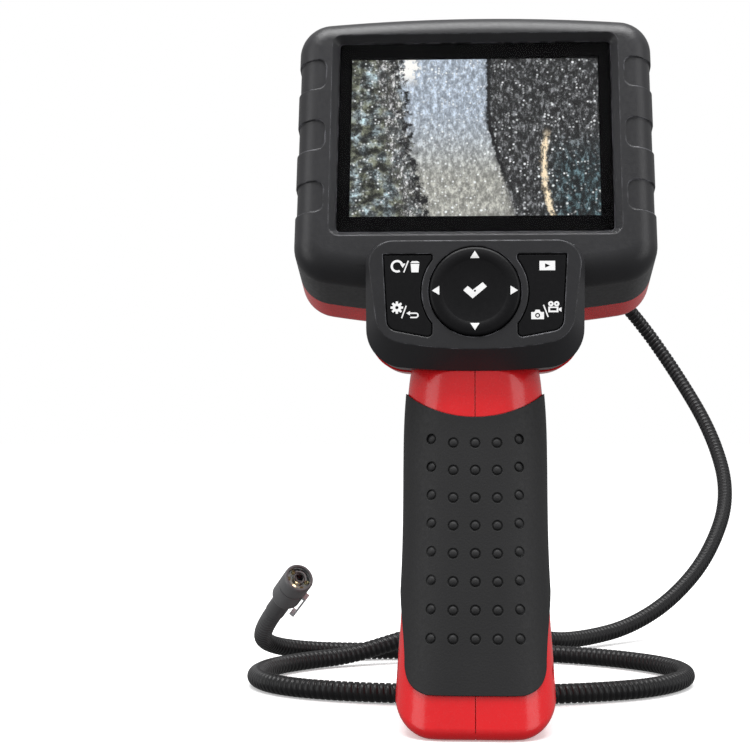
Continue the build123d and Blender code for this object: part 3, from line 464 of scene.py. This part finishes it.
def screen_picture(name):
    """The picture on the screen: wet rock with glints, a crack each side and a warm seam."""
    shader = Shader(name)
    across = shader.along(FACE, FACE.x)
    upward = shader.along(FACE, FACE.y)
    flat = shader.node("ShaderNodeCombineXYZ", {"X": across, "Y": upward})
    jagged = shader.span(shader.noise(0.55, 4.0, 0.7, flat), 0.2, 0.8, -2.4, 2.4)
    warped = shader.math("ADD", across, jagged)

    # how far each place is to the right of the left crack, the right crack and the seam
    slope = shader.math("MULTIPLY", upward, 0.17)
    bend = shader.math("MULTIPLY", shader.math("MULTIPLY", upward, upward), -0.002)
    past_left = shader.math("ADD", shader.math("ADD", slope, bend), 18.3)
    past_left = shader.math("ADD", warped, past_left)
    below = shader.math("MAXIMUM", shader.math("SUBTRACT", 5.0, upward), 0.0)
    calm = shader.math("ADD", warped, shader.math("MULTIPLY", jagged, -0.75))
    past_right = shader.math("SUBTRACT", shader.math("SUBTRACT", calm, 3.5),
                             shader.math("MULTIPLY", below, 0.26))
    drop = shader.math("ADD", upward, 8.0)
    sway = shader.math("MULTIPLY", shader.math("MULTIPLY", drop, drop), 0.0095)
    past_seam = shader.math("SUBTRACT", shader.math("SUBTRACT", calm, 19.4), sway)

    # three kinds of ground
    streaks = shader.node("ShaderNodeVectorMath", {0: flat, 1: (1.25, 0.7, 1.0)},
                          operation="MULTIPLY")
    blurred = shader.noise(0.22, 3.0, 0.6, flat)
    fine = shader.noise(0.6, 4.0, 0.8, streaks)
    grit = shader.noise(0.40, 5.0, 0.72, flat)
    left = shader.ramp(blurred, {
        0.30: (0.10, 0.11, 0.07), 0.45: (0.28, 0.30, 0.22), 0.55: (0.42, 0.50, 0.52),
        0.66: (0.72, 0.93, 1.0)})
    left = shader.mix(1.0, left, shader.ramp(grit, {
        0.40: (0.02, 0.02, 0.02), 0.48: (0.14, 0.14, 0.14), 0.54: (0.5, 0.5, 0.5),
        0.60: (1.0, 1.0, 1.0)}), "MULTIPLY")
    high = shader.span(upward, -14.0, 12.0)
    middle = shader.mix(high, (0.66, 0.66, 0.60, 1.0), (0.72, 0.83, 0.98, 1.0))
    contrast = shader.ramp(fine, {0.38: (0.28, 0.28, 0.28), 0.5: (0.5, 0.5, 0.5),
                                  0.62: (1.0, 1.0, 1.0)})
    strong = shader.ramp(fine, {0.42: (0.015, 0.015, 0.015), 0.5: (0.07, 0.07, 0.07),
                                0.56: (0.3, 0.3, 0.3), 0.61: (1.0, 1.0, 1.0)})
    middle = shader.mix(1.0, middle, contrast, "MULTIPLY")
    beside_crack = shader.math("ABSOLUTE", shader.math("ADD", past_left, 3.2))
    left = shader.mix(shader.span(beside_crack, 1.5, 5.0, 0.75, 0.0), left, strong)
    teal = shader.math("MULTIPLY", shader.span(across, 18.0, 26.0),
                       shader.span(upward, 4.0, -10.0))
    right = shader.mix(teal, (0.27, 0.28, 0.29, 1.0), (0.15, 0.25, 0.28, 1.0))
    right = shader.mix(1.0, right, strong, "MULTIPLY")
    in_middle = shader.span(past_left, -0.6, 0.9)
    in_right = shader.span(past_right, -1.6, 1.4)
    picture = shader.mix(in_middle, left, middle)
    picture = shader.mix(in_right, picture, right)

    # glints: many small ones, and fewer large ones
    quiet = shader.span(shader.noise(0.16, 2.0, 0.5, flat), 0.30, 0.55, 0.25, 1.0)
    for density, radius, rarest, commonest in ((1.0, 0.42, 0.45, 0.9), (0.5, 0.26, 0.6, 0.95)):
        spread = shader.span(shader.spots(density, flat), 0.10, radius, 1.0, 0.0)
        chance = shader.node(
            "ShaderNodeSeparateColor", {"Color": shader.spots(density, flat, "Color")})
        glints = shader.math("MULTIPLY", spread, shader.span(chance, rarest, commonest))
        glints = shader.math("MULTIPLY", glints, quiet)
        picture = shader.mix(glints, picture, (0.93, 0.96, 0.97, 1.0))

    # the bright patch at the top, the cracks and the seam
    patch_across = shader.math("ABSOLUTE", shader.math("ADD", warped, 18.6))
    patch = shader.math("MULTIPLY", shader.span(patch_across, 1.2, 2.6, 1.0, 0.0),
                        shader.span(upward, 16.0, 21.0))
    picture = shader.mix(patch, picture, (1.0, 0.99, 0.95, 1.0))
    broken = shader.span(shader.noise(0.35, 3.0, 0.6, flat), 0.42, 0.55)
    crack = shader.math("MULTIPLY", broken, shader.span(
        shader.math("ABSOLUTE", shader.math("ADD", past_left, 0.8)), 0.7, 2.2, 1.0, 0.0))
    slit = shader.math("MULTIPLY", shader.span(upward, -16.0, -10.0), shader.span(
        shader.math("ABSOLUTE", shader.math("SUBTRACT", past_right, 0.5)), 0.3, 0.8, 1.0, 0.0))
    dark = shader.math("MAXIMUM", crack, slit)
    picture = shader.mix(dark, picture, (0.002, 0.002, 0.003, 1.0))
    seam = shader.math("MULTIPLY", shader.span(upward, 4.0, -1.0), shader.span(
        shader.math("ABSOLUTE", past_seam), 0.25, 1.3, 1.0, 0.0))
    seam = shader.math("MULTIPLY", seam, shader.span(fine, 0.4, 0.52, 0.15, 1.0))
    picture = shader.mix(seam, picture, (1.0, 0.83, 0.58, 1.0))
    shader.set(
        Base_Color=(0.004, 0.004, 0.005, 1.0), Roughness=0.3, Emission_Color=picture,
        Emission_Strength=1.0)
    return shader.material


def print_white(name):
    """White printing on the keys, a little uneven and wearing through in specks, with a faint
    painted glow.
    """
    shader = Shader(name)
    shader.set(
        Base_Color=shader.ramp(shader.noise(2600, 4.0, 0.7), {
            0.25: (0.62, 0.62, 0.62), 0.42: (0.84, 0.84, 0.84), 0.7: (0.88, 0.88, 0.88)}),
        Roughness=shader.span(shader.noise(1500), 0.3, 0.7, 0.45, 0.6),
        # Painted glow: the printing emits a little light, so it reads brighter than its lighting.
        Emission_Color=(1.0, 1.0, 1.0, 1.0), Emission_Strength=0.12,
        Normal=shader.bump(shader.noise(5000, 2.0), 0.00001))
    return shader.material


def floor_paper(name):
    """Pale paper floor."""
    shader = Shader(name)
    shader.set(
        Base_Color=shader.ramp(shader.noise(4), {0.3: (0.90, 0.90, 0.90), 0.7: (0.93, 0.93, 0.93)}),
        Roughness=0.9, Specular_IOR_Level=0.0, Emission_Color=(1.0, 1.0, 1.0, 1.0),
        Emission_Strength=0.3)
    return shader.material


def make_materials():
    """One material for each of the record's slots."""
    black = (0.021, 0.021, 0.0235)
    red = (0.78, 0.008, 0.013)
    return {
        # The black shell's edges are lightened ninefold: a painted highlight line along them.
        "shell_black": moulded("shell_black", black, 0.36, 2600, 0.00003, edge=0.0006,
                               wear_and_highlight=9.0),
        "shell_red": moulded(
            "shell_red", red, 0.24, 700, 0.00001, spread=0.05, edge=0.0004, wear_and_highlight=1.1,
            Coat_Weight=0.25, Coat_Roughness=0.08),
        "door_red": moulded(
            "door_red", red, 0.26, 700, 0.00001, spread=0.05, wear_and_highlight=1.1, Coat_Weight=0.2,
            Coat_Roughness=0.1),
        "grip_rubber": moulded("grip_rubber", (0.012, 0.012, 0.013), 0.62, 1900, 0.00005,
                               wear_and_highlight=1.8),
        "key_rubber": moulded("key_rubber", (0.004, 0.004, 0.005), 0.42, 2200, 0.00002,
                              Specular_IOR_Level=0.25),
        "dark_plastic": moulded("dark_plastic", (0.014, 0.014, 0.015), 0.5, 1200, 0.00002),
        "foam": moulded("foam", (0.003, 0.003, 0.0035), 0.95, 3500, 0.00006,
                        Specular_IOR_Level=0.1),
        "chip": moulded("chip", (0.018, 0.018, 0.019), 0.55, 2500, 0.00001),
        "ring_black": moulded("ring_black", (0.012, 0.012, 0.013), 0.33, 1500, 0.00001),
        "cable_black": jacket("cable_black"),
        "steel": metal("steel", (0.62, 0.62, 0.64), 0.26),
        "tinned": metal("tinned", (0.68, 0.68, 0.69), 0.3),
        "contact": metal("contact", (0.72, 0.72, 0.70), 0.24),
        "probe_metal": metal("probe_metal", (0.17, 0.17, 0.175), 0.42, metallic=0.3),
        "clip": metal("clip", (0.62, 0.62, 0.64), 0.34, metallic=0.4),
        "lamp_board": lamp_board("lamp_board"),
        "barrel": barrel("barrel"),
        "window": glass("window", (1.0, 1.0, 1.0), index=1.15),
        "clear": glass("clear", (0.97, 0.98, 1.0), index=1.12),
        "lens_glass": glass("lens_glass", (0.30, 0.33, 0.36), index=1.2),
        "lcd": moulded("lcd", (0.006, 0.006, 0.007), 0.25, 300, 0.000002),
        "circuit_board": circuit_board("circuit_board"),
        "battery": battery("battery"),
        "led": diodes("led"),
        "picture": screen_picture("picture"),
        "print": print_white("print"),
    }


def dress_cad_nodes(materials):
    """Give every CAD node the material of its record slot, and three at the tip their own."""
    special = {"led_board": "lamp_board", "lens_barrel": "barrel", "tip_clip": "clip"}
    for name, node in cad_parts.items():
        for slot in node.material_slots:
            kind = special.get(name, slot.material.name.split(".")[0])
            slot.material = materials[kind]


# --- symbols on the keys ------------------------------------------------------------------
def turned_points(centre, radius, start, end, steps):
    """Points on an arc, with its angles in degrees."""
    points = []
    for step in range(steps + 1):
        angle = math.radians(start + (end - start) * step / steps)
        points.append((centre[0] + radius * math.cos(angle), centre[1] + radius * math.sin(angle)))
    return points


def disc(centre, radius):
    return turned_points(centre, radius, 0, 345, 23)


def band(centre, outer, inner, start, end):
    """Part of a ring."""
    return turned_points(centre, outer, start, end, 20) + turned_points(
        centre, inner, end, start, 20)


def box_at(centre, width, height):
    x, y = centre
    w, h = width / 2, height / 2
    return [(x - w, y - h), (x + w, y - h), (x + w, y + h), (x - w, y + h)]


def bar(start, end, width):
    """A straight stroke."""
    along = (Vector(end) - Vector(start)).normalized() * (width / 2)
    aside = Vector((-along.y, along.x))
    corners = [Vector(start) - aside, Vector(end) - aside, Vector(end) + aside,
               Vector(start) + aside]
    return [tuple(corner) for corner in corners]


def shifted(points, by):
    return [(x + by[0], y + by[1]) for x, y in points]


def arrow(centre, way, size):
    """A triangle that points along way."""
    tip = Vector(way) * size * 0.55
    aside = Vector((-way[1], way[0])) * size * 0.62
    back = Vector(way) * size * -0.45
    return [tuple(Vector(centre) + tip), tuple(Vector(centre) + back + aside),
            tuple(Vector(centre) + back - aside)]


def rotate_symbol(centre):
    ring = band(centre, 1.75, 1.15, 20, 300)
    head = shifted([(0.75, 0.75), (2.25, 0.75), (1.5, -0.45)], centre)
    return [[ring], [head]]


def bin_symbol(centre):
    body = shifted([(-0.95, -1.6), (0.95, -1.6), (1.15, 0.75), (-1.15, 0.75)], centre)
    lid = shifted([(-1.3, 0.98), (1.3, 0.98), (0.75, 1.5), (-0.75, 1.5)], centre)
    return [[body], [lid]]


def gear_symbol(centre):
    outline = []
    for tooth in range(8):
        middle = tooth * 45
        outline += turned_points(centre, 1.7, middle - 10, middle + 10, 3)
        outline += turned_points(centre, 1.15, middle + 17, middle + 28, 2)
    return [[outline, disc(centre, 0.45)]]


def return_symbol(centre):
    """An arrow that turns back on itself."""
    top = bar((centre[0] - 0.7, centre[1] + 0.45), (centre[0] + 0.9, centre[1] + 0.45), 0.38)
    turn = band((centre[0] + 0.9, centre[1] - 0.13), 0.77, 0.39, 90, -90)
    foot = bar((centre[0] - 0.6, centre[1] - 0.71), (centre[0] + 0.9, centre[1] - 0.71), 0.38)
    head = arrow((centre[0] - 1.1, centre[1] + 0.45), (-1, 0), 1.0)
    return [[top], [turn], [foot], [head]]


def play_symbol(centre):
    hole = shifted([(-0.6, -0.62), (0.75, 0.0), (-0.6, 0.62)], centre)
    return [[box_at(centre, 4.2, 2.6), hole]]


def photo_symbol(centre):
    x, y = centre
    body = [(x - 1.7, y - 1.3), (x + 1.7, y - 1.3), (x + 1.7, y + 0.65), (x + 0.85, y + 0.65),
            (x + 0.5, y + 1.3), (x - 0.5, y + 1.3), (x - 0.85, y + 0.65), (x - 1.7, y + 0.65)]
    return [[body, disc((x, y - 0.25), 0.68)], [disc((x, y - 0.25), 0.34)]]


def video_symbol(centre):
    x, y = centre
    body = box_at((x - 0.2, y - 0.75), 2.7, 1.55)
    window = box_at((x - 0.2, y - 0.7), 1.7, 0.7)
    horn = [(x + 1.25, y - 0.95), (x + 1.95, y - 1.4), (x + 1.95, y - 0.1), (x + 1.25, y - 0.55)]
    reels = [[disc((x + side, y + 0.8), 0.72), disc((x + side, y + 0.8), 0.22)]
             for side in (-0.85, 0.7)]
    return [[body, window], [horn]] + reels


def tick_symbol(centre):
    """A broad tick, for confirming."""
    return [[shifted([
        (-3.1, 0.15), (-1.9, 1.35), (-0.6, 0.2), (2.1, 2.35), (3.2, 1.15), (-0.6, -2.1)],
        centre)]]


def draped(surface, u, v):
    """The place on a node's surface under u and v, in the keypad's plane."""
    start = KEYPAD.point(u, v, 4.0)
    hit = surface.ray_cast(start, -KEYPAD.z)[0]
    return hit + KEYPAD.z * PRINT_LIFT


def make_symbols(name, shapes, node, body, material):
    """Thin printing that follows the key's surface."""
    mesh = bmesh.new()
    for loops in shapes:
        flat = [[Vector((u, v, 0)) for u, v in loop] for loop in loops]
        corners = [mesh.verts.new(point) for loop in flat for point in loop]
        for triangle in tessellate_polygon(flat):
            face = mesh.faces.new([corners[index] for index in triangle])
            face.normal_update()
            if face.normal.z < 0:
                face.normal_flip()
    bmesh.ops.subdivide_edges(mesh, edges=mesh.edges[:], cuts=2, use_grid_fill=True)
    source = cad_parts[node].data
    surface = BVHTree.FromPolygons(
        [vertex.co for vertex in source.vertices], [face.vertices for face in source.polygons])
    points = [draped(surface, vertex.co.x, vertex.co.y) for vertex in mesh.verts]
    mesh.verts.index_update()
    faces = [[vertex.index for vertex in face.verts] for face in mesh.faces]
    mesh.free()
    piece = new_piece(name, points, faces, material, smooth=False)
    thickness = piece.modifiers.new("thickness", "SOLIDIFY")
    thickness.thickness = PRINT_THICKNESS
    thickness.offset = -1
    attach(piece, body)


def make_key_symbols(material):
    """The printing on the left key, the right key and the round pad."""
    slash = 0.34
    left = rotate_symbol((-20.9, 7.7)) + [[bar((-19.1, 6.0), (-17.9, 9.2), slash)]]
    left += bin_symbol((-16.1, 7.6))
    left += gear_symbol((-20.9, -3.7)) + [[bar((-19.6, -6.6), (-18.4, -3.2), slash)]]
    left += return_symbol((-16.7, -5.7))
    make_symbols("left_key_symbols", left, "left_key", "left_rocker", material)
    right = play_symbol((19.4, 7.7)) + photo_symbol((16.7, -5.7))
    right += [[bar((19.5, -6.4), (18.3, -3.1), slash)]] + video_symbol((21.1, -3.6))
    make_symbols("right_key_symbols", right, "right_key", "right_rocker", material)
    pad_v = 0.7
    pad = tick_symbol((0, pad_v))
    for way, reach in (((0, 1), 9.8), ((0, -1), 9.8), ((1, 0), 10.4), ((-1, 0), 10.4)):
        pad.append([arrow((way[0] * reach, pad_v + way[1] * reach), way, 2.0)])
    make_symbols("pad_symbols", pad, "direction_pad", "pad", material)


# --- display ------------------------------------------------------------------------------
def make_screen_picture(material):
    """The lit area of the display, just in front of its panel."""
    half_width, half_height, out, thick = 35.0, 24.4, -4.93, 0.05
    points = []
    for w in (out - thick, out):
        for u, v in box_at((0, PICTURE_V), 2 * half_width, 2 * half_height):
            points.append(FACE.point(u, v, w))
    faces = [(3, 2, 1, 0), (4, 5, 6, 7)]
    faces += [(side, (side + 1) % 4, (side + 1) % 4 + 4, side + 4) for side in range(4)]
    picture = new_piece("screen_picture", points, faces, material, smooth=False)
    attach(picture, "housing")


# --- floor and lights ---------------------------------------------------------------------
def make_floor(material):
    """A wide flat floor under the foot."""
    reach = 6.0
    corners = [(x, y, FLOOR_LEVEL) for x, y in box_at((0, 0), 2 * reach, 2 * reach)]
    floor = new_piece("floor", corners, [(0, 1, 2, 3)], material)
    floor.visible_diffuse = False
    floor.visible_glossy = False


def softbox(name, place, target, size, power):
    """A rectangular soft light that faces a point."""
    data = bpy.data.lights.new(name, "AREA")
    data.shape = "RECTANGLE"
    data.size, data.size_y = size
    data.energy = power
    light = bpy.data.objects.new(name, data)
    light.location = place
    facing = Vector(target) - Vector(place)
    light.rotation_euler = facing.to_track_quat("-Z", "Y").to_euler()
    bpy.context.collection.objects.link(light)


def add_range(tree, value, low, to_low, to_high):
    """Takes value, from low to 1, onto another range."""
    made = tree.nodes.new("ShaderNodeMapRange")
    for name, number in (("From Min", low), ("To Min", to_low), ("To Max", to_high)):
        made.inputs[name].default_value = number
    tree.links.new(value, made.inputs["Value"])
    return made.outputs["Result"]


def add_math(tree, operation, first, second):
    made = tree.nodes.new("ShaderNodeMath")
    made.operation = operation
    tree.links.new(first, made.inputs[0])
    tree.links.new(second, made.inputs[1])
    return made.outputs["Value"]


def make_world():
    """White all round. Its light falls off towards the ground and is halved in reflections."""
    world = bpy.data.worlds.new("studio")
    world.use_nodes = True
    world.cycles.sampling_method = "NONE"
    tree = world.node_tree
    background = tree.nodes["Background"]
    direction = tree.nodes.new("ShaderNodeTexCoord")
    parts = tree.nodes.new("ShaderNodeSeparateXYZ")
    ray = tree.nodes.new("ShaderNodeLightPath")
    tree.links.new(direction.outputs["Generated"], parts.inputs["Vector"])
    level = add_range(tree, parts.outputs["Z"], -0.7, 0.3, 1.0)
    gloss = add_range(tree, ray.outputs["Is Glossy Ray"], 0.0, 1.0, 0.5)
    fill = add_math(tree, "MULTIPLY", level, gloss)
    shown = add_math(tree, "MAXIMUM", fill, ray.outputs["Is Camera Ray"])
    tree.links.new(shown, background.inputs["Strength"])
    background.inputs["Color"].default_value = (1, 1, 1, 1)
    bpy.context.scene.world = world


def make_lights():
    """A white studio: one box overhead and one at each side."""
    make_world()
    middle = (0, 0.03, 0.10)
    side_size, side_power = (0.5, 0.9), 2
    softbox("overhead", (0, -0.05, 0.95), middle, (0.9, 0.5), 9)
    softbox("left_box", (-0.85, -0.35, 0.35), middle, side_size, side_power)
    softbox("right_box", (0.85, -0.35, 0.35), middle, side_size, side_power)
    bpy.context.scene.view_settings.view_transform = "Standard"


make_camera()
materials = make_materials()
make_gooseneck(materials["cable_black"])
dress_cad_nodes(materials)
make_screen_picture(materials["picture"])
make_key_symbols(materials["print"])
make_floor(floor_paper("floor_paper"))
make_lights()
